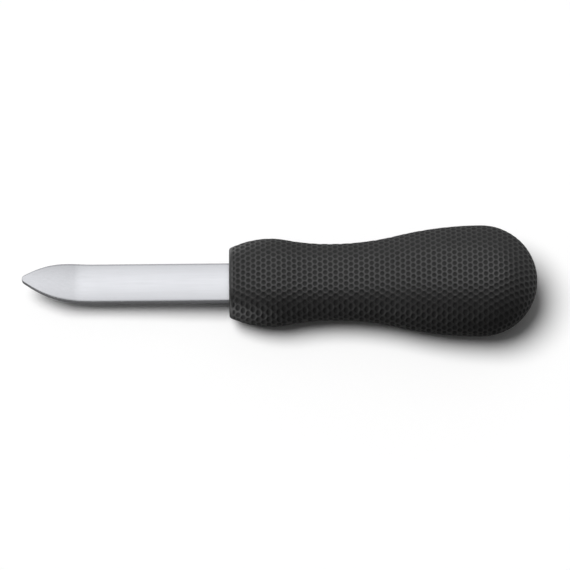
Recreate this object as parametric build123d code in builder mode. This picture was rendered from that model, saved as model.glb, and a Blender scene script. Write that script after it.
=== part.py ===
from build123d import *
from math import atan2, degrees, tan
import os

# Oyster knife with a short blade, bent up at its point, and a soft palm-swell handle.
# It lies along X with its blade to -X, its flat side in the XY plane and +Z up.
# The origin is the centre of the handle's flat front face. Sizes are in millimetres.

os.makedirs("parts", exist_ok=True)

# Blade, with distances from the handle's front face
blade_length = 70
blade_width = 13.4
blade_thickness = 2.8
face_crown = 0.2
edge_round = 0.5
bend_distance = 49
bend_radius = 30
tip_rise = 5.2
tip_thickness = 2.1

# Point: its flanks leave the round nose at this angle to the blade, in degrees, and pass
# here, as shares of the way to the full width
point_length = 21
nose_radius = 1.4
flank_angle = 33
flank_shares = (0.44, 0.78)

# Tang, which keeps the full thickness of the stamped blank. Its holes are set back from its end
tang_length = 78
tang_width = 10
tang_thickness = 3
tang_corner = 3
shoulder_depth = 5
lock_hole_diameter = 5
lock_hole_setbacks = (44, 12)

# Handle seen from above, with distances from its front face
front_width = 23.8
front_round = 1
collar_width = 30.3
collar_distance = 14
waist_width = 26.3
waist_distance = 34.5
palm_width = 38
palm_distance = 85

# Between two of those widths the outline is two arcs, which meet at this share of the way
collar_fall_share = 0.24
palm_swell_share = 0.44

# Every section is an oval of four arcs. Its height is less than its width by this much, and
# its side arcs are centred this far from the middle
oval_difference = 7.2
side_centre = 3.8

# Hard core, in three oval lengths: the soft grip is held by the narrow one in the middle
core_front = 3
core_collar_width = 22
core_collar_end = 24
core_stem_width = 17
core_palm_start = 60
core_palm_width = 28
core_end = 94

# What a cutting shape reaches past the solid that it cuts
overrun = 2

# Centres and reach of the flatter upper and lower arcs of the oval, from its two sizes
centre_excess = side_centre - oval_difference / 2
flat_centre = (side_centre**2 - centre_excess**2) / (2 * centre_excess)
flat_angle = degrees(atan2(side_centre, flat_centre))
side_angle = 90 - flat_angle


def crown_drop(half_width):
    """How far a crowned face has fallen at this distance from its middle."""
    radius = ((blade_width / 2) ** 2 + face_crown**2) / (2 * face_crown)
    return radius - (radius**2 - half_width**2) ** 0.5


def bend_angle(side):
    """How far the blade's upper face (1) or lower face (-1) turns up, in radians."""
    rise = tip_rise + side * (tip_thickness - blade_thickness) / 2
    return atan2(rise, blade_length - bend_distance)


def face_block(side):
    """A deep bar under the blade's upper face (1), or over its lower one (-1), bent as it is."""
    top = side * blade_thickness / 2
    depth = -side * (blade_thickness / 2 + overrun)
    half = blade_width / 2 + overrun
    edge = top - side * crown_drop(half)
    start = bend_radius * tan(bend_angle(side) / 2) - bend_distance
    with BuildSketch(Plane.YZ.offset(start)) as section:
        with BuildLine():
            ThreePointArc((-half, edge), (0, top), (half, edge))
            Polyline((half, edge), (half, depth), (-half, depth), (-half, edge))
        make_face()
    bend_axis = Axis((start, 0, top + bend_radius), (0, 1, 0))
    straight = extrude(section.sketch, amount=shoulder_depth - start)
    bend = revolve(section.sketch, axis=bend_axis, revolution_arc=degrees(bend_angle(side)))
    end = bend.faces().sort_by(Axis.X)[0]
    return straight + bend + extrude(end, amount=blade_length - bend_distance + overrun)


def between(start, end, share):
    """The point at this share of the way from start to end."""
    return Vector(*start) + (Vector(*end) - Vector(*start)) * share


def handle_profile(plane, shift, inner):
    """The handle's outline from front to palm on a plane, moved out by shift, closed at inner."""
    front = (0, front_width / 2 + shift)
    collar = (collar_distance, collar_width / 2 + shift)
    waist = (waist_distance, waist_width / 2 + shift)
    palm = (palm_distance, palm_width / 2 + shift)
    fall = between(collar, waist, collar_fall_share)
    swell = between(waist, palm, palm_swell_share)
    with BuildSketch(plane) as profile:
        with BuildLine():
            TangentArc(collar, front, tangent=(-1, 0))
            fall_arc = TangentArc(collar, fall, tangent=(1, 0))
            TangentArc(fall, waist, tangent=fall_arc % 1)
            swell_arc = TangentArc(waist, swell, tangent=(1, 0))
            TangentArc(swell, palm, tangent=swell_arc % 1)
            Polyline(palm, (palm_distance, inner), (0, inner), front)
        make_face()
        fillet(profile.vertices().sort_by_distance(front)[0], front_round)
    return profile.sketch


def handle_oval(distance, width):
    """The oval section with this width, across the handle."""
    side_radius = width / 2 - side_centre
    flat_radius = (width - oval_difference) / 2 + flat_centre
    with BuildSketch(Plane.YZ.offset(distance)) as oval:
        with BuildLine():
            CenterArc((side_centre, 0), side_radius, -side_angle, 2 * side_angle)
            CenterArc((0, -flat_centre), flat_radius, side_angle, 2 * flat_angle)
            CenterArc((-side_centre, 0), side_radius, 180 - side_angle, 2 * side_angle)
            CenterArc((0, flat_centre), flat_radius, 180 + side_angle, 2 * flat_angle)
        make_face()
    return oval.sketch


upper_block = face_block(1)
lower_block = face_block(-1)

# Blade: one stamping with its tang, cut to its outline and to its two crowned faces
with BuildPart() as blade:
    with BuildSketch():
        with BuildLine():
            nose = CenterArc((nose_radius - blade_length, 0), nose_radius, 180, flank_angle - 90)
            full = (point_length - blade_length, blade_width / 2)
            flank = (between(nose @ 1, full, flank_shares[0]).X, between(nose @ 1, full, flank_shares[1]).Y)
            Spline(nose @ 1, flank, full, tangents=[nose % 1, (1, 0)])
            Polyline(full, (shoulder_depth, blade_width / 2), (shoulder_depth, 0), nose @ 0)
        make_face()
        mirror(about=Plane.XZ)
    extrude(amount=tip_rise + blade_thickness, both=True)
    add(upper_block, mode=Mode.INTERSECT)
    add(lower_block, mode=Mode.INTERSECT)
    fillet(blade.edges().filter_by(Axis.X), edge_round)
    with BuildSketch(Plane.XY.offset(-tang_thickness / 2)) as tang_plan:
        with Locations((shoulder_depth - overrun, 0)):
            Rectangle(tang_length - shoulder_depth + overrun, tang_width, align=(Align.MIN, Align.CENTER))
        fillet(tang_plan.vertices().group_by(Axis.X)[-1], tang_corner)
        with Locations([(tang_length - setback, 0) for setback in lock_hole_setbacks]):
            Circle(lock_hole_diameter / 2, mode=Mode.SUBTRACT)
    extrude(amount=tang_thickness)

# Core: moulded round the tang, whose holes it fills
with BuildPart() as core:
    extrude(handle_oval(core_front, core_collar_width), amount=core_collar_end - core_front)
    extrude(handle_oval(core_collar_end, core_stem_width), amount=core_palm_start - core_collar_end)
    extrude(handle_oval(core_palm_start, core_palm_width), amount=core_end - core_palm_start)
    add(blade.part, mode=Mode.SUBTRACT)

# Grip: the outline turned about each of the oval's four centres, flatter sectors first, and
# the widest section turned about its own upright axis for the round butt
with BuildPart() as grip:
    for turn, keep in ((0, Keep.TOP), (180, Keep.BOTTOM)):
        middle = Vector(0, 0, -flat_centre).rotate(Axis.X, turn)
        plane = Plane(middle).rotated((turn + side_angle, 0, 0))
        profile = handle_profile(plane, flat_centre - oval_difference / 2, flat_centre)
        sector = revolve(profile, Axis(middle, (1, 0, 0)), 2 * flat_angle, mode=Mode.PRIVATE)
        add(split(sector, Plane.XY, keep, mode=Mode.PRIVATE))
    for turn in (0, 180):
        middle = Vector(0, side_centre, 0).rotate(Axis.X, turn)
        plane = Plane(middle).rotated((turn - side_angle, 0, 0))
        revolve(handle_profile(plane, -side_centre, 0), Axis(middle, (1, 0, 0)), 2 * side_angle)
    half_section = split(handle_oval(palm_distance, palm_width), Plane.XZ, Keep.TOP, mode=Mode.PRIVATE)
    revolve(half_section, Axis((palm_distance, 0, 0), (0, 0, 1)), 180)
    add(core.part, mode=Mode.SUBTRACT)
    add(blade.part, mode=Mode.SUBTRACT)

blade.part.label = "blade"
core.part.label = "core"
grip.part.label = "grip"
export_step(blade.part, "parts/blade.step")
export_step(core.part, "parts/core.step")
export_step(grip.part, "parts/grip.step")
for piece in (blade, core, grip):
    solids = len(piece.part.solids())
    print(piece.part.label, round(piece.part.volume, 1), solids, piece.part.is_valid)
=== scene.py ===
"""Looks of a bare oyster knife: a satin steel blade in a black, dimpled soft-grip handle.

The knife lies along X with its blade to -X and +Z up, and the origin is the centre of the
handle's flat front face. Lengths are in metres.
"""

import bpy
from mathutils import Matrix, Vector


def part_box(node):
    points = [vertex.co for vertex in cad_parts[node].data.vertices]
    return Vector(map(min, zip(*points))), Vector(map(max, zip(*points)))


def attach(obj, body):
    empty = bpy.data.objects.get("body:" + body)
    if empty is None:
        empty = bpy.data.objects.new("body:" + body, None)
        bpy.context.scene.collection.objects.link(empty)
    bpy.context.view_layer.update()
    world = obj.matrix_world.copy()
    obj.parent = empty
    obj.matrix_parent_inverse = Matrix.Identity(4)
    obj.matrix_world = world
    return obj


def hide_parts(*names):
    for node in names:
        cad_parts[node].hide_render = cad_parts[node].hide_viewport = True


bl_info = {
    "name": "Oyster knife",
    "version": (1, 0, 0),
    "blender": (4, 5, 0),
    "location": "View3D > Sidebar > Oyster knife",
    "description": "Builds the visible pieces of an oyster knife and a white studio round them",
    "category": "Object",
}

import math

import bpy
import numpy as np
from mathutils import Matrix, Vector

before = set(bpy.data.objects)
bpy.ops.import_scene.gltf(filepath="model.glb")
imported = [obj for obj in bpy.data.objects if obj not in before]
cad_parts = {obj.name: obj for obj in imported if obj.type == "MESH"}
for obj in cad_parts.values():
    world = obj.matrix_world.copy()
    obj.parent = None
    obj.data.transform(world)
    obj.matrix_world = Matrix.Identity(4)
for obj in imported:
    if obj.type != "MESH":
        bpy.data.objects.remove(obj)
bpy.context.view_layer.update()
MM = 0.001

# Points closer than this are one point
WELD_GRAIN = 1e-7
# Points along the blade's nose, flank, straight sides, tang and tang corner
BLADE_STATIONS = (14, 70, 120, 30, 9)
# Points from the blade's middle to its edge rounding, and round that
FACE_STATIONS, ROUND_STATIONS = 12, 7
# Points round the handle's front rounding
FRONT_STATIONS = 9
# Points round a dimple's hexagon, and its rings' radii as shares of the pitch
CELL_POINTS, RING_SHARES = 12, (0.42, 0.31, 0.17)
# A dimple's depth on its hexagon, on each ring and in its middle, as shares of the whole
CELL_DEPTHS = (0, 0.04, 0.76, 0.97, 1.0)
# Points nearer than this share of the pitch to the honeycomb's edge are moved on to it
SNAP_SHARE = 0.06
# Slack in telling on which arc of the oval a point lies
ARC_SLACK = 1e-9
# The paper reaches this far each way, and lies this far under the knife
FLOOR_REACH, FLOOR_GAP = 4.0, 0.02 * MM
# Width of the camera's sensor, in mm
SENSOR_WIDTH = 36


class BladeSettings(bpy.types.PropertyGroup):
    """Sizes of the blade and its tang."""

    length: bpy.props.FloatProperty(
        name="Length", description="Blade in front of the handle",
        default=-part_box("blade")[0].x - 0.25 * MM, unit="LENGTH",
    )
    width: bpy.props.FloatProperty(
        name="Width", description="Full width of the blade", default=13.4 * MM, unit="LENGTH"
    )
    thickness: bpy.props.FloatProperty(
        name="Thickness", description="Thickness along the middle", default=2.8 * MM, unit="LENGTH"
    )
    crown: bpy.props.FloatProperty(
        name="Crown", description="How far each face falls to its edges", default=0.2 * MM, unit="LENGTH"
    )
    edge_round: bpy.props.FloatProperty(
        name="Edge rounding", description="Radius along the edges", default=0.18 * MM, unit="LENGTH"
    )
    bend_distance: bpy.props.FloatProperty(
        name="Bend distance", description="From the handle to the bend", default=49 * MM, unit="LENGTH"
    )
    bend_radius: bpy.props.FloatProperty(
        name="Bend radius", description="Radius of the bend", default=30 * MM, unit="LENGTH"
    )
    tip_rise: bpy.props.FloatProperty(
        name="Tip rise", description="Height of the tip over the blade", default=5.2 * MM, unit="LENGTH"
    )
    tip_thickness: bpy.props.FloatProperty(
        name="Tip thickness", description="Thickness at the tip", default=2.1 * MM, unit="LENGTH"
    )
    point_length: bpy.props.FloatProperty(
        name="Point length", description="From the tip to the full width", default=21 * MM, unit="LENGTH"
    )
    nose_radius: bpy.props.FloatProperty(
        name="Nose radius", description="Radius of the tip's outline", default=1.4 * MM, unit="LENGTH"
    )
    flank_angle: bpy.props.FloatProperty(
        name="Flank angle", description="Where the flank leaves the nose",
        default=math.radians(33), unit="ROTATION",
    )
    nose_arm: bpy.props.FloatProperty(
        name="Nose arm", description="Reach of the flank's curve from the nose",
        default=9.1 * MM, unit="LENGTH",
    )
    full_arm: bpy.props.FloatProperty(
        name="Full-width arm", description="Reach of the curve from the full width",
        default=7.7 * MM, unit="LENGTH",
    )
    shoulder_depth: bpy.props.FloatProperty(
        name="Shoulder depth", description="How far the full width enters the handle",
        default=5 * MM, unit="LENGTH",
    )
    tang_length: bpy.props.FloatProperty(
        name="Tang length", description="How far the tang enters",
        default=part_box("blade")[1].x, unit="LENGTH",
    )
    tang_width: bpy.props.FloatProperty(
        name="Tang width", description="Width of the tang", default=10 * MM, unit="LENGTH"
    )
    tang_thickness: bpy.props.FloatProperty(
        name="Tang thickness", description="Thickness of the tang", default=3 * MM, unit="LENGTH"
    )
    tang_corner: bpy.props.FloatProperty(
        name="Tang corner", description="Corner radius of the tang's end", default=3 * MM, unit="LENGTH"
    )


class HandleSettings(bpy.types.PropertyGroup):
    """Sizes of the handle and of its honeycomb of dimples."""

    front_width: bpy.props.FloatProperty(
        name="Front width", description="Width at the front face", default=23.8 * MM, unit="LENGTH"
    )
    front_round: bpy.props.FloatProperty(
        name="Front rounding", description="Radius round the front face", default=1 * MM, unit="LENGTH"
    )
    collar_width: bpy.props.FloatProperty(
        name="Collar width", description="Width of the swelling at the front",
        default=30.3 * MM, unit="LENGTH",
    )
    collar_distance: bpy.props.FloatProperty(
        name="Collar distance", description="From the front face to the collar",
        default=14 * MM, unit="LENGTH",
    )
    waist_width: bpy.props.FloatProperty(
        name="Waist width", description="Width of the waist", default=26.3 * MM, unit="LENGTH"
    )
    waist_distance: bpy.props.FloatProperty(
        name="Waist distance", description="From the front face to the waist",
        default=34.5 * MM, unit="LENGTH",
    )
    palm_width: bpy.props.FloatProperty(
        name="Palm width", description="Greatest width", default=2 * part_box("grip")[1].y, unit="LENGTH"
    )
    palm_distance: bpy.props.FloatProperty(
        name="Palm distance", description="From the front face to the greatest width",
        default=85 * MM, unit="LENGTH",
    )
    fall_share: bpy.props.FloatProperty(
        name="Fall share", description="Where the two arcs behind the collar meet",
        default=0.24, subtype="FACTOR",
    )
    swell_share: bpy.props.FloatProperty(
        name="Swell share", description="Where the two arcs before the palm meet",
        default=0.44, subtype="FACTOR",
    )
    oval_difference: bpy.props.FloatProperty(
        name="Oval difference", description="How much less the height is than the width",
        default=7.2 * MM, unit="LENGTH",
    )
    side_centre: bpy.props.FloatProperty(
        name="Side centre", description="From the middle to the centre of a side's arc",
        default=3.8 * MM, unit="LENGTH",
    )
    cell_pitch: bpy.props.FloatProperty(
        name="Cell pitch", description="From one dimple to the next", default=2 * MM, unit="LENGTH"
    )
    cell_depth: bpy.props.FloatProperty(
        name="Cell depth", description="Depth of a dimple", default=0.3 * MM, unit="LENGTH"
    )
    cell_start: bpy.props.FloatProperty(
        name="Cell start", description="From the front face to the first dimples",
        default=1.2 * MM, unit="LENGTH",
    )
    side_stretch: bpy.props.FloatProperty(
        name="Side stretch", description="Share of its own spacing that the honeycomb keeps on the sides",
        default=0.6, subtype="FACTOR",
    )


class FinishSettings(bpy.types.PropertyGroup):
    """Colours, as sRGB hex, and the surface of each material."""

    steel: bpy.props.StringProperty(name="Steel", description="Satin stainless steel", default="c6c7cb")
    steel_roughness: bpy.props.FloatProperty(
        name="Steel roughness", description="Roughness of the satin grind", default=0.22, subtype="FACTOR"
    )
    # The dimples' colour, darker than the net's, is painted shade in the recesses
    rubber: bpy.props.StringProperty(
        name="Rubber", description="Black soft elastomer in the dimples", default="0f0f0f"
    )
    # The net's grey: the rubber's own colour, lighter than the painted shade in the dimples
    rubber_net: bpy.props.StringProperty(
        name="Worn rubber", description="Rubbed net of ridges", default="262626"
    )
    rubber_roughness: bpy.props.FloatProperty(
        name="Rubber roughness", description="Roughness of the burnished net", default=0.4, subtype="FACTOR"
    )
    dimple_roughness: bpy.props.FloatProperty(
        name="Dimple roughness", description="Roughness in the dimples", default=0.72, subtype="FACTOR"
    )
    rubber_gloss: bpy.props.FloatProperty(
        name="Rubber gloss", description="Strength of the skin's soft sheen", default=1.0, subtype="FACTOR"
    )
    plastic: bpy.props.StringProperty(name="Plastic", description="Black moulded core", default="202021")


class StageSettings(bpy.types.PropertyGroup):
    """Camera, floor and light."""

    elevation: bpy.props.FloatProperty(
        name="Elevation", description="Camera's height over the knife's plane",
        default=math.radians(70), unit="ROTATION",
    )
    roll: bpy.props.FloatProperty(
        name="Roll", description="How far the knife's axis rises to the right",
        default=math.radians(0.52), unit="ROTATION",
    )
    lens: bpy.props.FloatProperty(
        name="Lens", description="Focal length of a long studio lens, in mm", default=300
    )
    frame_width: bpy.props.FloatProperty(
        name="Frame width", description="Width of the picture at the knife",
        default=192.5 * MM, unit="LENGTH",
    )
    aim: bpy.props.FloatVectorProperty(
        name="Aim", description="Point at the picture's centre",
        default=(18.80 * MM, -0.74 * MM, -0.34 * MM), subtype="TRANSLATION",
    )
    floor_colour: bpy.props.StringProperty(name="Floor", description="White paper sweep", default="ffffff")
    key_tilt: bpy.props.FloatProperty(
        name="Key tilt", description="How far the soft light leans away from the camera",
        default=math.radians(3), unit="ROTATION",
    )
    key_turn: bpy.props.FloatProperty(
        name="Key turn", description="How far the soft light leans towards the blade",
        default=math.radians(19), unit="ROTATION",
    )
    key_size: bpy.props.FloatProperty(
        name="Key size", description="Angle that the soft light's bright middle spans",
        default=math.radians(33), unit="ROTATION",
    )
    key_level: bpy.props.FloatProperty(
        name="Key level", description="Its light on the floor, where 1 shows a colour as written",
        default=0.83,
    )
    rim_size: bpy.props.FloatProperty(
        name="Rim size", description="Angle that the soft light's dimmer rim spans",
        default=math.radians(50), unit="ROTATION",
    )
    rim_level: bpy.props.FloatProperty(
        name="Rim level", description="The rim's light on the floor", default=0.08
    )
    fill_level: bpy.props.FloatProperty(
        name="Fill level", description="Light from all round, where 1 shows a colour as written",
        default=0.12,
    )
    strip_level: bpy.props.FloatProperty(
        name="Strip level", description="Brightness of the soft light's middle in reflections", default=1.68
    )
    strip_spread: bpy.props.FloatProperty(
        name="Strip spread", description="Share of that brightness in a broad glow",
        default=0.4, subtype="FACTOR",
    )
    strip_tilt: bpy.props.FloatProperty(
        name="Strip tilt", description="How far that middle leans away from the camera",
        default=math.radians(20), unit="ROTATION",
    )


def linear(hex_colour):
    """An sRGB hex colour as linear RGBA: c/12.92 below 0.04045, else ((c + 0.055)/1.055)^2.4."""
    shares = [int(hex_colour[i : i + 2], 16) / 255 for i in (0, 2, 4)]
    return (*[c / 12.92 if c <= 0.04045 else ((c + 0.055) / 1.055) ** 2.4 for c in shares], 1.0)


def add_node(tree, kind, settings=None, links=None):
    """Add a node of this kind, set its sockets or properties by name, and link its inputs."""
    node = tree.nodes.new(kind)
    for name, value in (settings or {}).items():
        if isinstance(name, int) or name in node.inputs:
            node.inputs[name].default_value = value
        else:
            setattr(node, name, value)
    for name, source in (links or {}).items():
        tree.links.new(source, node.inputs[name])
    return node


def smooth_range(tree, source, start, end, first, last):
    """A level that goes smoothly from first to last while the source goes from start to end."""
    settings = {
        "interpolation_type": "SMOOTHSTEP",
        "From Min": start, "From Max": end, "To Min": first, "To Max": last,
    }
    return add_node(tree, "ShaderNodeMapRange", settings, {"Value": source}).outputs["Result"]


def new_material(name):
    """An empty node material and its node tree."""
    material = bpy.data.materials.new(name)
    material.use_nodes = True
    material.node_tree.nodes.clear()
    return material, material.node_tree


def new_piece(name, vertices, faces, material):
    """A smooth mesh object at the origin from an array of points and one of faces."""
    mesh = bpy.data.meshes.new(name)
    mesh.from_pydata(vertices.tolist(), [], faces.tolist())
    mesh.validate()
    mesh.shade_smooth()
    mesh.materials.append(material)
    piece = bpy.data.objects.new(name, mesh)
    bpy.context.scene.collection.objects.link(piece)
    return piece


def weld(points, faces):
    """Join points that round to the same place.

    Gives the points to keep, the faces on them, and how many of its corners each face repeats.
    """
    places = np.round(points / WELD_GRAIN).astype(np.int64)
    _, first, index = np.unique(places, axis=0, return_index=True, return_inverse=True)
    faces = index.reshape(-1)[faces]
    repeats = [faces[:, i] == faces[:, i - 1] for i in range(faces.shape[1])]
    return first, faces, np.sum(repeats, axis=0)


def split_quads(quads):
    """Each quad a, b, c, d as the triangles a, b, c and a, c, d."""
    return np.concatenate([quads[:, [0, 1, 2]], quads[:, [0, 2, 3]]])


def grid_faces(rows, columns, closed=False):
    """Quads of a grid counted row by row; closed joins its last column to its first."""
    row = np.arange(rows - 1)[:, None] * columns
    column = np.arange(columns if closed else columns - 1)[None, :]
    after = (column + 1) % columns
    quads = np.stack([row + column, row + after, row + columns + after, row + columns + column], -1)
    return quads.reshape(-1, 4)


def brushed_steel():
    """Stainless steel, ground to a satin finish: fine lengthwise lines blur what it reflects."""
    finish = bpy.context.scene.knife_finish
    material, tree = new_material("satin_stainless_steel")
    place = add_node(tree, "ShaderNodeTexCoord").outputs["Object"]
    # Grinding lines are 0.05 mm apart, drawn 0.35 mm apart to show, and about 20 mm long
    lines = add_node(tree, "ShaderNodeMapping", {"Scale": (0.05, 2.8, 2.8)}, {"Vector": place})
    grain = add_node(
        tree, "ShaderNodeTexNoise", {"Scale": 1 / MM, "Detail": 3.0}, {"Vector": lines.outputs["Vector"]}
    )
    # Broad clouding of the grind, 6 mm across
    clouds = add_node(tree, "ShaderNodeTexNoise", {"Scale": 1 / (6 * MM), "Detail": 1.0}, {"Vector": place})
    mixed = add_node(
        tree, "ShaderNodeMath", {"operation": "MULTIPLY_ADD", 1: 0.35},
        {0: clouds.outputs["Fac"], 2: grain.outputs["Fac"]},
    )
    least, most = finish.steel_roughness - 0.02, finish.steel_roughness + 0.03
    roughness = add_node(
        tree, "ShaderNodeMapRange", {"From Min": 0.4, "From Max": 1.0, "To Min": least, "To Max": most},
        {"Value": mixed.outputs["Value"]},
    )
    bump = add_node(
        tree, "ShaderNodeBump", {"Strength": 0.03, "Distance": 0.02 * MM}, {"Height": grain.outputs["Fac"]}
    )
    shader = add_node(
        tree, "ShaderNodeBsdfPrincipled",
        {"Base Color": linear(finish.steel), "Metallic": 1.0},
        {"Roughness": roughness.outputs["Result"], "Normal": bump.outputs["Normal"]},
    )
    add_node(tree, "ShaderNodeOutputMaterial", {}, {"Surface": shader.outputs["BSDF"]})
    return material


def soft_rubber():
    """Thermoplastic elastomer, moulded with a fine grain: black, smoother on its net, and darker in its
    dimples, which is painted shade.
    """
    finish = bpy.context.scene.knife_finish
    material, tree = new_material("moulded_black_elastomer")
    place = add_node(tree, "ShaderNodeTexCoord").outputs["Object"]
    depth = add_node(tree, "ShaderNodeAttribute", {"attribute_name": "depth"})
    # Handling marks, 9 mm across, vary the net's grey at random
    marks = add_node(tree, "ShaderNodeTexNoise", {"Scale": 1 / (9 * MM), "Detail": 2.0}, {"Vector": place})
    wear = add_node(
        tree, "ShaderNodeMapRange", {"From Min": 0.3, "From Max": 0.7, "To Min": 0.7, "To Max": 1.0},
        {"Value": marks.outputs["Fac"]},
    )
    # 1 on the net and 0 in the dimples: it places the painted shade in the dimples, and the smoother net
    net = add_node(
        tree, "ShaderNodeMapRange", {"From Min": 0.02, "From Max": 0.42, "To Min": 1.0, "To Max": 0.0},
        {"Value": depth.outputs["Fac"]},
    )
    wear_and_dimple_shade = add_node(
        tree, "ShaderNodeMath", {"operation": "MULTIPLY"},
        {0: wear.outputs["Result"], 1: net.outputs["Result"]},
    )
    # Painted shade: the dimples take the darker colour and the net the lighter one, and the handling marks
    # vary it
    colour = add_node(
        tree, "ShaderNodeMix",
        {"data_type": "RGBA", 6: linear(finish.rubber), 7: linear(finish.rubber_net)},
        {0: wear_and_dimple_shade.outputs["Value"]},
    )
    # Hands burnish the net, and the dimples keep the mould's dull skin
    roughness = add_node(
        tree, "ShaderNodeMapRange", {"To Min": finish.dimple_roughness, "To Max": finish.rubber_roughness},
        {"Value": net.outputs["Result"]},
    )
    # Spark-eroded grain is 0.03 mm, drawn 0.15 mm to show close up
    grain = add_node(
        tree, "ShaderNodeTexNoise", {"Scale": 1 / (0.15 * MM), "Detail": 2.0}, {"Vector": place}
    )
    bump = add_node(
        tree, "ShaderNodeBump", {"Strength": 0.25, "Distance": 0.02 * MM}, {"Height": grain.outputs["Fac"]}
    )
    settings = {"IOR": 1.6, "Specular IOR Level": finish.rubber_gloss}
    shader = add_node(tree, "ShaderNodeBsdfPrincipled", settings, {
        "Base Color": colour.outputs[2],
        "Roughness": roughness.outputs["Result"],
        "Normal": bump.outputs["Normal"],
    })
    add_node(tree, "ShaderNodeOutputMaterial", {}, {"Surface": shader.outputs["BSDF"]})
    return material


def moulded_plastic():
    """Polypropylene, moulded: a hard, plain black with a faint mottle from the mould."""
    finish = bpy.context.scene.knife_finish
    material, tree = new_material("moulded_black_polypropylene")
    place = add_node(tree, "ShaderNodeTexCoord").outputs["Object"]
    mottle = add_node(
        tree, "ShaderNodeTexNoise", {"Scale": 1 / (0.5 * MM), "Detail": 2.0}, {"Vector": place}
    )
    bump = add_node(
        tree, "ShaderNodeBump", {"Strength": 0.2, "Distance": 0.02 * MM}, {"Height": mottle.outputs["Fac"]}
    )
    shader = add_node(
        tree, "ShaderNodeBsdfPrincipled",
        {"Base Color": linear(finish.plastic), "IOR": 1.49, "Roughness": 0.42},
        {"Normal": bump.outputs["Normal"]},
    )
    add_node(tree, "ShaderNodeOutputMaterial", {}, {"Surface": shader.outputs["BSDF"]})
    return material


def bezier(start, start_arm, end_arm, end, count):
    """Points of the cubic (1-t)^3 a + 3(1-t)^2 t b + 3(1-t) t^2 c + t^3 d, and its direction."""
    t = np.linspace(0, 1, count)[:, None]
    s = 1 - t
    points = s**3 * start + 3 * s**2 * t * start_arm + 3 * s * t**2 * end_arm + t**3 * end
    along = s**2 * (start_arm - start) + 2 * s * t * (end_arm - start_arm) + t**2 * (end - end_arm)
    return points, along / np.linalg.norm(along, axis=1, keepdims=True)


def blade_outline(blade):
    """Half the outline seen from above, from nose to tang end, with its outward directions.

    The nose is an arc, the flank one Bezier curve, and the rest straight but for the tang's
    corner arc.
    """
    nose_count, flank_count, straight_count, tang_count, corner_count = BLADE_STATIONS
    turn = np.linspace(0, math.pi / 2 - blade.flank_angle, nose_count)
    nose_out = np.stack([-np.cos(turn), np.sin(turn)], 1)
    nose = np.array([blade.nose_radius - blade.length, 0.0]) + blade.nose_radius * nose_out
    along = np.array([math.cos(blade.flank_angle), math.sin(blade.flank_angle)])
    full = np.array([blade.point_length - blade.length, blade.width / 2])
    full_arm = full - blade.full_arm * np.array([1.0, 0.0])
    flank, direction = bezier(nose[-1], nose[-1] + blade.nose_arm * along, full_arm, full, flank_count)
    flank_out = np.stack([-direction[:, 1], direction[:, 0]], 1)
    straight = np.linspace(full[0], blade.shoulder_depth, straight_count)[1:]
    tang = np.linspace(blade.shoulder_depth, blade.tang_length - blade.tang_corner, tang_count)
    corner = np.linspace(0, math.pi / 2, corner_count)[1:]
    corner_out = np.stack([np.sin(corner), np.cos(corner)], 1)
    corner_centre = np.array([blade.tang_length, blade.tang_width / 2]) - blade.tang_corner
    points = np.concatenate([
        nose,
        flank[1:],
        np.stack([straight, np.full_like(straight, blade.width / 2)], 1),
        np.stack([tang, np.full_like(tang, blade.tang_width / 2)], 1),
        corner_centre + blade.tang_corner * corner_out,
        [[blade.tang_length, 0.0]],
    ])
    sideways = np.tile([0.0, 1.0], (len(straight) + len(tang), 1))
    outward = np.concatenate([nose_out, flank_out[1:], sideways, corner_out, [[1.0, 0.0]]])
    in_tang = np.arange(len(points)) >= len(nose) + len(flank) - 1 + len(straight)
    return points, outward, in_tang


def face_height(blade, distance, side):
    """Height of the upper (1) or lower (-1) face's middle at each distance along X.

    It is level to the bend, then an arc, z = top + R - sqrt(R^2 - d^2), then a straight slope.
    """
    top = side * blade.thickness / 2
    radius = blade.bend_radius
    rise = blade.tip_rise + side * blade.tip_thickness / 2 - top
    angle = math.atan2(rise, blade.length - blade.bend_distance)
    into = radius * math.tan(angle / 2) - blade.bend_distance - distance
    arc = np.clip(into, 0, radius * math.sin(angle))
    past = np.maximum(into - radius * math.sin(angle), 0)
    return top + radius - np.sqrt(radius**2 - arc**2) + past * math.tan(angle)


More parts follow.
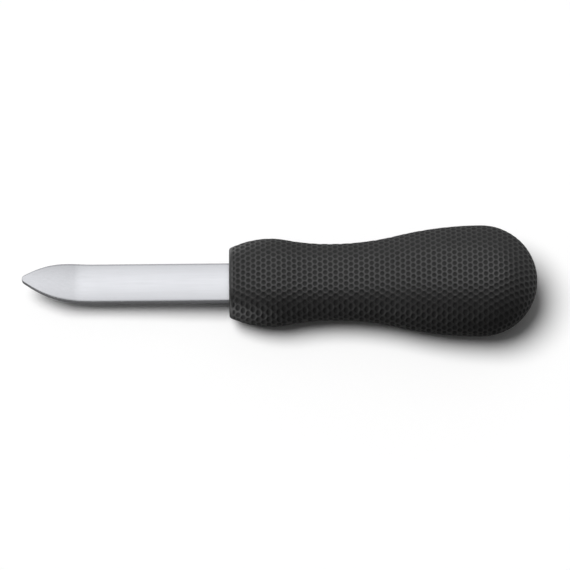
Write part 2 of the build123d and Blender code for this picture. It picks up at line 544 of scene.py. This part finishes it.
def blade_surface(blade):
    """Points and faces of the blade and tang, as one closed surface.

    Each station of the outline carries a half section: from the middle line straight across the
    crowned face to the edge rounding's start, round a quarter circle that leans along the
    outline's outward direction, and the same back along the lower face. The crown falls by
    r - sqrt(r^2 - y^2). The other half is the mirror image.
    """
    outline, outward, in_tang = blade_outline(blade)
    rounding = blade.edge_round
    inner = outline - rounding * outward
    across = np.linspace(0, 1, FACE_STATIONS)[:, None]
    flat = np.stack([np.broadcast_to(inner[:, 0], (FACE_STATIONS, len(inner))), across * inner[:, 1]], -1)
    turn = np.linspace(0, math.pi / 2, ROUND_STATIONS)[1:]
    rim = inner[None] + rounding * np.sin(turn)[:, None, None] * outward[None]
    plan = np.concatenate([flat, rim])
    fall = np.concatenate([np.zeros(FACE_STATIONS), rounding * (1 - np.cos(turn))])[:, None]
    crown_radius = ((blade.width / 2) ** 2 + blade.crown**2) / (2 * blade.crown)
    crown = crown_radius - np.sqrt(crown_radius**2 - plan[..., 1] ** 2)
    sheets = []
    for side in (1, -1):
        bent = face_height(blade, plan[..., 0], side) - side * crown
        level = np.full_like(bent, side * blade.tang_thickness / 2)
        height = np.where(in_tang[None, :], level, bent) - side * fall
        sheets.append(np.concatenate([plan, height[..., None]], -1))
    section = np.concatenate([sheets[0], sheets[1][::-1]]).transpose(1, 0, 2)
    rows, columns = section.shape[:2]
    near = section * np.array([1, -1, 1])
    points = np.concatenate([section.reshape(-1, 3), near.reshape(-1, 3)])
    quads = grid_faces(rows, columns)
    quads = np.concatenate([quads, quads[:, ::-1] + rows * columns])
    first, faces, repeats = weld(points, split_quads(quads))
    return points[first], faces[repeats == 0]


def level_arc(distance, length, change):
    """Fall and slope at a distance from where an arc is level; it falls by change over length."""
    radius = (length**2 + change**2) / (2 * change)
    reach = np.clip(distance, 0, length)
    root = np.sqrt(radius**2 - reach**2)
    return radius - root, reach / root


def handle_outline(handle, distance):
    """Half the handle's width at each distance from its front face, and its slope there.

    Five arcs: up to the collar, two down to the waist and two up to the palm. A pair meets on the
    line between its two ends. Each arc below has its end, whether it is level at its start (1) or
    its end (-1), its length, its level half width, and which way (-1 in) and how far it leaves it.
    """
    collar, waist, palm = handle.collar_width / 2, handle.waist_width / 2, handle.palm_width / 2
    collar_at, waist_at, palm_at = handle.collar_distance, handle.waist_distance, handle.palm_distance
    fall, swell = handle.fall_share, handle.swell_share
    fall_end = collar_at + fall * (waist_at - collar_at)
    swell_end = waist_at + swell * (palm_at - waist_at)
    pieces = (
        (collar_at, -1, collar_at, collar, -1, collar - handle.front_width / 2),
        (fall_end, 1, fall_end - collar_at, collar, -1, fall * (collar - waist)),
        (waist_at, -1, waist_at - fall_end, waist, 1, (1 - fall) * (collar - waist)),
        (swell_end, 1, swell_end - waist_at, waist, 1, swell * (palm - waist)),
        (palm_at, -1, palm_at - swell_end, palm, -1, (1 - swell) * (palm - waist)),
    )
    half, slope = np.full_like(distance, palm), np.zeros_like(distance)
    for end, way, length, level, sign, change in reversed(pieces):
        level_at = end if way < 0 else end - length
        drop, steep = level_arc(way * (distance - level_at), length, change)
        here = distance <= end
        half = np.where(here, level + sign * drop, half)
        slope = np.where(here, sign * way * steep, slope)
    return half, slope


def oval_arcs(handle, half):
    """The flatter arc's centre and radius, the angle at which it ends, and the side arc's radius."""
    excess = handle.side_centre - handle.oval_difference / 2
    flat_centre = (handle.side_centre**2 - excess**2) / (2 * excess)
    flat_radius = half - handle.oval_difference / 2 + flat_centre
    return flat_centre, flat_radius, math.atan2(handle.side_centre, flat_centre), half - handle.side_centre


def skin_reach(handle, half):
    """How far the honeycomb's plane reaches across, from the top line to the side's parting line."""
    steep = math.acos(handle.side_stretch)
    past_steep = handle.side_stretch * (math.pi / 2 - steep)
    return handle.side_centre + (half - handle.side_centre) * (math.sin(steep) + past_steep)


def section_point(handle, across, half):
    """Place and lean of the oval's point where the honeycomb's plane has come this far across.

    The lean is the surface's angle from the level. Across equals the plan distance until the
    lean's cosine falls to the side stretch, and from there the arc length times that stretch.
    """
    flat_centre, flat_radius, meet, side_radius = oval_arcs(handle, half)
    steep = math.acos(handle.side_stretch)
    steep_across = handle.side_centre + side_radius * math.sin(steep)
    on_flat = across <= flat_radius * math.sin(meet)
    flat_lean = np.arcsin(np.minimum(across / flat_radius, 1))
    side_lean = np.arcsin(np.clip((across - handle.side_centre) / side_radius, -1, 1))
    steep_lean = steep + (across - steep_across) / (handle.side_stretch * side_radius)
    lean = np.where(on_flat, flat_lean, np.where(across <= steep_across, side_lean, steep_lean))
    out = np.where(on_flat, flat_radius * np.sin(lean), handle.side_centre + side_radius * np.sin(lean))
    up = np.where(on_flat, flat_radius * np.cos(lean) - flat_centre, side_radius * np.cos(lean))
    return out, up, lean


def skin_points(handle, along, across, depth):
    """The honeycomb's plane laid on the upper half of the handle, sunk by depth along the normal.

    Up to the palm, along is X and across follows the oval section. Past it the plane's polar
    coordinates about the palm's middle turn the palm's half section about its upright axis.
    """
    beyond = np.maximum(along - handle.palm_distance, 0)
    half, slope = handle_outline(handle, np.minimum(along, handle.palm_distance))
    distance = np.hypot(beyond, across)
    safe = np.where(distance > 0, distance, 1)
    way = np.stack([beyond / safe, across / safe], -1)
    out, up, lean = section_point(handle, distance, half)
    base = np.minimum(along, handle.palm_distance)
    points = np.stack([base + out * way[:, 0], out * way[:, 1], up], -1)
    normal = np.stack([np.sin(lean) * way[:, 0] - slope, np.sin(lean) * way[:, 1], np.cos(lean)], -1)
    normal /= np.linalg.norm(normal, axis=1, keepdims=True)
    return points - depth[:, None] * normal


def honeycomb_plane(handle):
    """The honeycomb in its own plane: points, depth shares, triangles and which edge each point is on.

    Cells are regular hexagons in columns a pitch times root 3/2 apart, every other column half a
    pitch over. A cell's depth goes 0 on its hexagon, then 0.04, 0.76 and 0.97 of the whole on
    rings of 0.84, 0.62 and 0.34 mm for a 2 mm pitch, to 1 at its middle. Points past an edge of
    the plane are brought back on to it.
    """
    pitch = handle.cell_pitch
    column_step = pitch * math.sqrt(3) / 2
    reach = skin_reach(handle, handle.palm_width / 2)
    columns = np.arange(int((handle.palm_distance + reach) / column_step) + 2)
    rows = np.arange(-int(reach / pitch) - 2, int(reach / pitch) + 3)
    centres = np.stack(np.meshgrid(columns, rows, indexing="ij"), -1).reshape(-1, 2).astype(float)
    column, row = centres[:, 0], centres[:, 1]
    centres = np.stack([handle.cell_start + column * column_step, (row + column % 2 / 2) * pitch], 1)
    around = CELL_POINTS
    angle = np.arange(around) * 2 * math.pi / around
    hexagon = pitch / 2 * np.where(np.arange(around) % 2, 1, 2 / math.sqrt(3))
    rings = [hexagon] + [np.full(around, pitch * share) for share in RING_SHARES]
    shape = [np.stack([r * np.cos(angle), r * np.sin(angle)], 1) for r in rings]
    shape = np.concatenate([*shape, np.zeros((1, 2))])
    depth = np.repeat(CELL_DEPTHS, [around] * len(rings) + [1])
    middle = len(rings) * around
    inner = middle - around + np.arange(around)
    centre_fan = np.stack([inner, np.roll(inner, -1), np.full(around, middle)], 1)
    cell = np.concatenate([split_quads(grid_faces(len(rings), around, closed=True)), centre_fan])
    points = (centres[:, None] + shape[None]).reshape(-1, 2)
    faces = (cell[None] + len(shape) * np.arange(len(centres))[:, None, None]).reshape(-1, 3)
    first, faces, _ = weld(points, faces)
    points, depth = points[first], np.tile(depth, len(centres))[first]

    snap = pitch * SNAP_SHARE
    on_front = points[:, 0] < handle.cell_start + snap
    points[on_front, 0] = handle.cell_start
    half, _ = handle_outline(handle, np.minimum(points[:, 0], handle.palm_distance))
    limit = skin_reach(handle, half)
    beyond = np.maximum(points[:, 0] - handle.palm_distance, 0)
    distance = np.hypot(beyond, points[:, 1])
    on_side = distance > limit - snap
    share = np.where(on_side, limit / np.maximum(distance, limit / 2), 1)
    points[:, 1] *= share
    points[:, 0] = np.where(beyond > 0, handle.palm_distance + beyond * share, points[:, 0])
    depth = np.where(on_front | on_side, 0, depth)
    first, faces, repeats = weld(points, faces)
    points, depth, on_front, on_side = points[first], depth[first], on_front[first], on_side[first]
    lost = (repeats > 0) | on_side[faces].all(1) | on_front[faces].all(1)
    return points, depth, faces[~lost], on_front, on_side


def grip_surface(handle):
    """Points, faces and depth shares of the whole skin, as one closed surface.

    The honeycomb's plane is laid on the upper half and mirrored for the lower one, and the two
    share the parting line. The front ring of points is then carried along the outline and round
    the front's rounding, whose arc touches the outline and the face, to a flat cap.
    """
    plane, share, faces, on_front, on_side = honeycomb_plane(handle)
    upper = skin_points(handle, plane[:, 0], plane[:, 1], share * handle.cell_depth)
    upper[on_side, 2] = 0
    count = len(upper)
    points = np.concatenate([upper, upper * np.array([1, 1, -1])])
    faces = np.concatenate([faces, faces[:, ::-1] + count])
    depth = np.concatenate([share, share])
    front = np.flatnonzero(np.concatenate([on_front, on_front]))
    used = np.zeros(len(points), bool)
    used[faces.reshape(-1)] = True
    front = front[used[front]]
    front = front[np.argsort(np.arctan2(points[front, 2], points[front, 1]))]
    _, keep = np.unique(np.round(points[front] / WELD_GRAIN).astype(np.int64), axis=0, return_index=True)
    front = front[np.sort(keep)]

    half, _ = handle_outline(handle, np.array([handle.cell_start]))
    corner_half, corner_slope = handle_outline(handle, np.array([0.0]))
    rounding, slant = handle.front_round, corner_slope[0]
    centre_half = corner_half[0] + rounding * (slant - math.sqrt(1 + slant**2))
    turn = np.linspace(math.atan(slant), math.pi / 2, FRONT_STATIONS)
    row_distance = rounding * (1 - np.sin(turn))
    row_half = centre_half + rounding * np.cos(turn)
    ring = points[front]
    lean = ring_lean(handle, ring, half[0])
    inward = np.stack([np.zeros(len(ring)), lean[:, 0], lean[:, 1]], 1)
    rows = ring[None] - (half[0] - row_half)[:, None, None] * inward[None]
    rows[..., 0] = row_distance[:, None]
    rim_count = len(ring)
    band = np.concatenate([ring[None], rows]).reshape(-1, 3)
    band_faces = split_quads(grid_faces(len(rows) + 1, rim_count, closed=True))
    cap = len(band) - rim_count + np.arange(rim_count)
    cap_faces = np.stack([cap, np.roll(cap, -1), np.full(rim_count, len(band))], 1)
    band = np.concatenate([band, [[0.0, 0.0, 0.0]]])
    faces = np.concatenate([faces, np.concatenate([band_faces, cap_faces])[:, ::-1] + len(points)])
    points = np.concatenate([points, band])
    depth = np.concatenate([depth, np.zeros(len(band))])
    first, faces, repeats = weld(points, faces)
    return points[first], faces[repeats == 0], depth[first]


def ring_lean(handle, ring, half):
    """Outward directions, in Y and Z, of the oval section at the points of a ring."""
    flat_centre, flat_radius, meet, side_radius = oval_arcs(handle, half)
    side, level = np.sign(ring[:, 1]), np.sign(ring[:, 2])
    from_flat = np.stack([ring[:, 1], ring[:, 2] + level * flat_centre], 1)
    from_side = np.stack([ring[:, 1] - side * handle.side_centre, ring[:, 2]], 1)
    on_flat = np.abs(from_flat[:, 0]) <= math.tan(meet) * np.abs(from_flat[:, 1]) - ARC_SLACK
    lean = np.where(on_flat[:, None], from_flat, from_side)
    return lean / np.linalg.norm(lean, axis=1, keepdims=True)


class KNIFE_OT_blade(bpy.types.Operator):
    """Build the blade with its tang: crowned faces, rounded edges and a bent point"""

    bl_idname = "knife.blade"
    bl_label = "Blade"

    def execute(self, context):
        points, faces = blade_surface(context.scene.knife_blade)
        piece = new_piece("blade_steel", points, faces, brushed_steel())
        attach(piece, "root")
        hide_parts("blade")
        return {"FINISHED"}


class KNIFE_OT_core(bpy.types.Operator):
    """Give the hard core inside the handle its plastic"""

    bl_idname = "knife.core"
    bl_label = "Core"

    def execute(self, context):
        plastic = moulded_plastic()
        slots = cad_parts["core"].material_slots
        if not slots:
            raise RuntimeError("the core has no material slot")
        for slot in slots:
            slot.material = plastic
        return {"FINISHED"}


class KNIFE_OT_grip(bpy.types.Operator):
    """Build the soft skin of the handle with its honeycomb of dimples"""

    bl_idname = "knife.grip"
    bl_label = "Grip"

    def execute(self, context):
        points, faces, depth = grip_surface(context.scene.knife_handle)
        piece = new_piece("grip_skin", points, faces, soft_rubber())
        if len(piece.data.vertices) != len(points):
            raise RuntimeError("the skin's mesh lost points")
        share = piece.data.attributes.new("depth", "FLOAT", "POINT")
        share.data.foreach_set("value", depth.astype(np.float32))
        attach(piece, "root")
        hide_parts("grip")
        return {"FINISHED"}


def rest_points(handle):
    """Points of the collar's arc and the palm's arc, seen from the side, that the knife lies on.

    A line touches two circles on the same side where its normal n satisfies
    n . (c2 - c1) = r1 - r2, and it touches each at c + r n.
    """
    drop = handle.oval_difference / 2
    swell_end = handle.waist_distance + handle.swell_share * (handle.palm_distance - handle.waist_distance)
    circles = []
    for distance, width, length, change in (
        (handle.collar_distance, handle.collar_width, handle.collar_distance,
         (handle.collar_width - handle.front_width) / 2),
        (handle.palm_distance, handle.palm_width, handle.palm_distance - swell_end,
         (1 - handle.swell_share) * (handle.palm_width - handle.waist_width) / 2),
    ):
        radius = (length**2 + change**2) / (2 * change)
        circles.append((Vector((distance, 0, drop - width / 2 + radius)), radius))
    (collar, collar_radius), (palm, palm_radius) = circles
    apart = palm - collar
    angle = math.atan2(apart.z, apart.x) - math.acos((collar_radius - palm_radius) / apart.length)
    down = Vector((math.cos(angle), 0, math.sin(angle)))
    return collar + collar_radius * down, palm + palm_radius * down


def backdrop_share(tree, mirrored):
    """1 for camera and refracted rays, this share for mirrored ones, and 0 for diffuse ones."""
    light_path = add_node(tree, "ShaderNodeLightPath")
    direct = add_node(tree, "ShaderNodeMath", {"operation": "MAXIMUM"}, {
        0: light_path.outputs["Is Camera Ray"], 1: light_path.outputs["Is Transmission Ray"],
    })
    reflected = add_node(tree, "ShaderNodeMath", {"operation": "MULTIPLY"}, {
        0: light_path.outputs["Is Glossy Ray"], 1: mirrored,
    })
    return add_node(tree, "ShaderNodeMath", {"operation": "MAXIMUM"}, {
        0: direct.outputs["Value"], 1: reflected.outputs["Value"],
    }).outputs["Value"]


def paper_floor(stage, handle):
    """White paper the knife lies on: a wide quad through its two resting points, just below them.

    It is white to camera and refracted rays. Mirrored rays see it white only before the handle and
    away from the blade; beside the blade it keeps the dimmer level, a painted shadow. Elsewhere, and in
    what it bounces on to the knife, it is dimmer, and least in front of the knife: painted shade, so that
    the handle's near side stays black.
    """
    collar, palm = rest_points(handle)
    along = (palm - collar).normalized()
    down = Vector((-along.z, 0, along.x)) * -FLOOR_GAP
    middle = (collar + palm) / 2 + down
    length, depth = along * FLOOR_REACH, Vector((0, FLOOR_REACH, 0))
    corners = [middle + a * length + b * depth for a, b in ((-1, -1), (1, -1), (1, 1), (-1, 1))]
    mesh = bpy.data.meshes.new("paper_floor")
    mesh.from_pydata(corners, [], [(0, 1, 2, 3)])
    floor = bpy.data.objects.new("paper_floor", mesh)
    bpy.context.scene.collection.objects.link(floor)
    material, tree = new_material("white_paper")
    place = add_node(tree, "ShaderNodeSeparateXYZ", {}, {
        "Vector": add_node(tree, "ShaderNodeTexCoord").outputs["Object"],
    })
    # The dimmer level, painted shade in bounces and reflections, rises from well in front of the knife to
    # just behind it
    dimmed = smooth_range(tree, place.outputs["Y"], -60 * MM, 20 * MM, 0.03, 0.25)
    # The mirrored white ends at the handle's front face, and begins on either side of the blade; nearer the
    # blade the dimmer level stays as a painted shadow
    before_handle = smooth_range(tree, place.outputs["X"], -20 * MM, 10 * MM, 1.0, 0.0)
    aside = add_node(tree, "ShaderNodeMath", {"operation": "ABSOLUTE"}, {0: place.outputs["Y"]})
    beside_blade = smooth_range(tree, aside.outputs["Value"], 12 * MM, 35 * MM, 0.0, 1.0)
    mirrored = add_node(
        tree, "ShaderNodeMath", {"operation": "MULTIPLY"}, {0: before_handle, 1: beside_blade}
    )
    colour = add_node(tree, "ShaderNodeMix", {"data_type": "RGBA", 7: linear(stage.floor_colour)}, {
        0: backdrop_share(tree, mirrored.outputs["Value"]), 6: dimmed,
    })
    paper = add_node(tree, "ShaderNodeBsdfDiffuse", {}, {"Color": colour.outputs[2]})
    add_node(tree, "ShaderNodeOutputMaterial", {}, {"Surface": paper.outputs["BSDF"]})
    mesh.materials.append(material)


def key_direction(stage):
    """Unit vector from the knife to the middle of the soft light."""
    tilt, turn = stage.key_tilt, stage.key_turn
    towards = Vector((-math.sin(turn), math.sin(tilt) * math.cos(turn), math.cos(tilt) * math.cos(turn)))
    return towards.normalized()


def soft_light(stage):
    """A round overhead softbox, bright in its middle and dimmer to its rim.

    Each of its two discs is a sun, whose strength is level * pi / cos(tilt), so a level white
    reads the level. Reflections show the studio's strip in its place.
    """
    towards = key_direction(stage)
    for name, size, level in (
        ("soft_key", stage.key_size, stage.key_level), ("soft_rim", stage.rim_size, stage.rim_level),
    ):
        lamp = bpy.data.lights.new(name, "SUN")
        lamp.angle = size
        lamp.energy = level * math.pi / towards.z
        light = bpy.data.objects.new(name, lamp)
        light.rotation_mode = "QUATERNION"
        light.rotation_quaternion = towards.to_track_quat("Z", "Y")
        light.visible_glossy = False
        bpy.context.scene.collection.objects.link(light)


def studio_world(stage):
    """Room: white to camera and refracted rays, dim to diffuse ones, a soft strip to mirrored ones.

    The strip lies over the knife, along it. Its level falls smoothly with the distance from its middle
    plane, and with the direction's share along X. The room round it is grey behind the knife
    and dark in front, and brighter at its foot, where the backdrop meets the floor.
    """
    world = bpy.data.worlds.new("studio")
    bpy.context.scene.world = world
    world.use_nodes = True
    # The room is read only by the rays that meet it, so each kind of ray gets its own level
    world.cycles.sampling_method = "NONE"
    tree = world.node_tree
    tree.nodes.clear()
    direction = add_node(tree, "ShaderNodeTexCoord").outputs["Generated"]
    place = add_node(tree, "ShaderNodeSeparateXYZ", {}, {"Vector": direction})
    sideways = (0, math.cos(stage.strip_tilt), -math.sin(stage.strip_tilt))
    offset = add_node(
        tree, "ShaderNodeVectorMath", {"operation": "DOT_PRODUCT", 1: sideways}, {0: direction}
    )
    # How the strip's narrow glow and its broad one fall across it, and how both fall along it
    falls = []
    across = offset.outputs["Value"]
    for source, full, gone in ((across, 0.0, 0.18), (across, 0.1, 0.7), (place.outputs["X"], 0.24, 0.87)):
        away = add_node(tree, "ShaderNodeMath", {"operation": "ABSOLUTE"}, {0: source})
        falls.append(smooth_range(tree, away.outputs["Value"], full, gone, 1.0, 0.0))
    profile = add_node(
        tree, "ShaderNodeMix", {"data_type": "FLOAT", 0: stage.strip_spread}, {2: falls[0], 3: falls[1]}
    )
    strip = add_node(
        tree, "ShaderNodeMath", {"operation": "MULTIPLY"}, {0: profile.outputs[0], 1: falls[2]}
    )
    # The walls brighten from front to back, and so does the backdrop at their foot
    walls = smooth_range(tree, place.outputs["Y"], -0.5, 0.4, 0.02, 0.13)
    foot= smooth_range(tree, place.outputs["Z"], 0.1, 0.35, 0.5, 0.0)
    behind = smooth_range(tree, place.outputs["Y"], -0.5, 0.2, 0.1, 1.0)
    backdrop = add_node(tree, "ShaderNodeMath", {"operation": "MULTIPLY"}, {0: foot, 1: behind})
    room = add_node(
        tree, "ShaderNodeMath", {"operation": "MAXIMUM"}, {0: walls, 1: backdrop.outputs["Value"]}
    )
    mirrored = add_node(tree, "ShaderNodeMath", {"operation": "MULTIPLY_ADD", 1: stage.strip_level}, {
        0: strip.outputs["Value"], 2: room.outputs["Value"],
    })
    # A level surface gets the fill level, the knife's far side more and its near side less
    slant = 0.8 * stage.fill_level
    fill = add_node(
        tree, "ShaderNodeMath", {"operation": "MULTIPLY_ADD", 1: slant, 2: stage.fill_level},
        {0: place.outputs["Y"]},
    )
    light_path = add_node(tree, "ShaderNodeLightPath")
    seen = add_node(tree, "ShaderNodeMix", {"data_type": "FLOAT"}, {
        0: light_path.outputs["Is Glossy Ray"], 2: fill.outputs["Value"], 3: mirrored.outputs["Value"],
    })
    refracted = add_node(tree, "ShaderNodeMath", {"operation": "MAXIMUM"}, {
        0: seen.outputs[0], 1: light_path.outputs["Is Transmission Ray"],
    })
    level = add_node(tree, "ShaderNodeMath", {"operation": "MAXIMUM"}, {
        0: refracted.outputs["Value"], 1: light_path.outputs["Is Camera Ray"],
    })
    background = add_node(
        tree, "ShaderNodeBackground", {"Color": (1, 1, 1, 1)}, {"Strength": level.outputs["Value"]}
    )
    add_node(tree, "ShaderNodeOutputWorld", {}, {"Surface": background.outputs["Background"]})


def camera(stage):
    """A long lens over the knife's near side, rolled so that its axis rises a little to the right."""
    towards = Vector((0, -math.cos(stage.elevation), math.sin(stage.elevation)))
    level_up = Vector((0, math.sin(stage.elevation), math.cos(stage.elevation)))
    right = Vector((math.cos(stage.roll), 0, 0)) - math.sin(stage.roll) * level_up
    up = towards.cross(right)
    data = bpy.data.cameras.new("camera")
    data.lens = stage.lens
    data.sensor_width = SENSOR_WIDTH
    distance = stage.frame_width * stage.lens / data.sensor_width
    body = bpy.data.objects.new("camera", data)
    turn = Matrix((right, up, towards)).transposed().to_4x4()
    body.matrix_world = Matrix.Translation(Vector(stage.aim) + towards * distance) @ turn
    bpy.context.scene.collection.objects.link(body)
    bpy.context.scene.camera = body


class KNIFE_OT_stage(bpy.types.Operator):
    """Set up the white paper floor, the soft overhead light, the room and the camera"""

    bl_idname = "knife.stage"
    bl_label = "Stage"

    def execute(self, context):
        stage = context.scene.knife_stage
        paper_floor(stage, context.scene.knife_handle)
        soft_light(stage)
        studio_world(stage)
        camera(stage)
        context.scene.view_settings.view_transform = "Standard"
        return {"FINISHED"}


class KNIFE_PT_panel(bpy.types.Panel):
    """Sizes, colours and buttons in the 3D view's sidebar"""

    bl_label = "Oyster knife"
    bl_idname = "KNIFE_PT_panel"
    bl_space_type = "VIEW_3D"
    bl_region_type = "UI"
    bl_category = "Oyster knife"

    def draw(self, context):
        for operator, settings in (
            (KNIFE_OT_blade, context.scene.knife_blade),
            (KNIFE_OT_core, context.scene.knife_finish),
            (KNIFE_OT_grip, context.scene.knife_handle),
            (KNIFE_OT_stage, context.scene.knife_stage),
        ):
            box = self.layout.box()
            for name in settings.__annotations__:
                box.prop(settings, name)
            box.operator(operator.bl_idname)


SETTINGS = {
    "knife_blade": BladeSettings,
    "knife_handle": HandleSettings,
    "knife_finish": FinishSettings,
    "knife_stage": StageSettings,
}
CLASSES = (*SETTINGS.values(), KNIFE_OT_blade, KNIFE_OT_core, KNIFE_OT_grip, KNIFE_OT_stage, KNIFE_PT_panel)


def register():
    for cls in CLASSES:
        bpy.utils.register_class(cls)
    for name, settings in SETTINGS.items():
        setattr(bpy.types.Scene, name, bpy.props.PointerProperty(type=settings))


def unregister():
    for name in SETTINGS:
        delattr(bpy.types.Scene, name)
    for cls in reversed(CLASSES):
        bpy.utils.unregister_class(cls)


def main():
    """Build every piece and the stage."""
    register()
    bpy.ops.knife.stage()
    bpy.ops.knife.blade()
    bpy.ops.knife.core()
    bpy.ops.knife.grip()


if __name__ == "__main__":
    main()
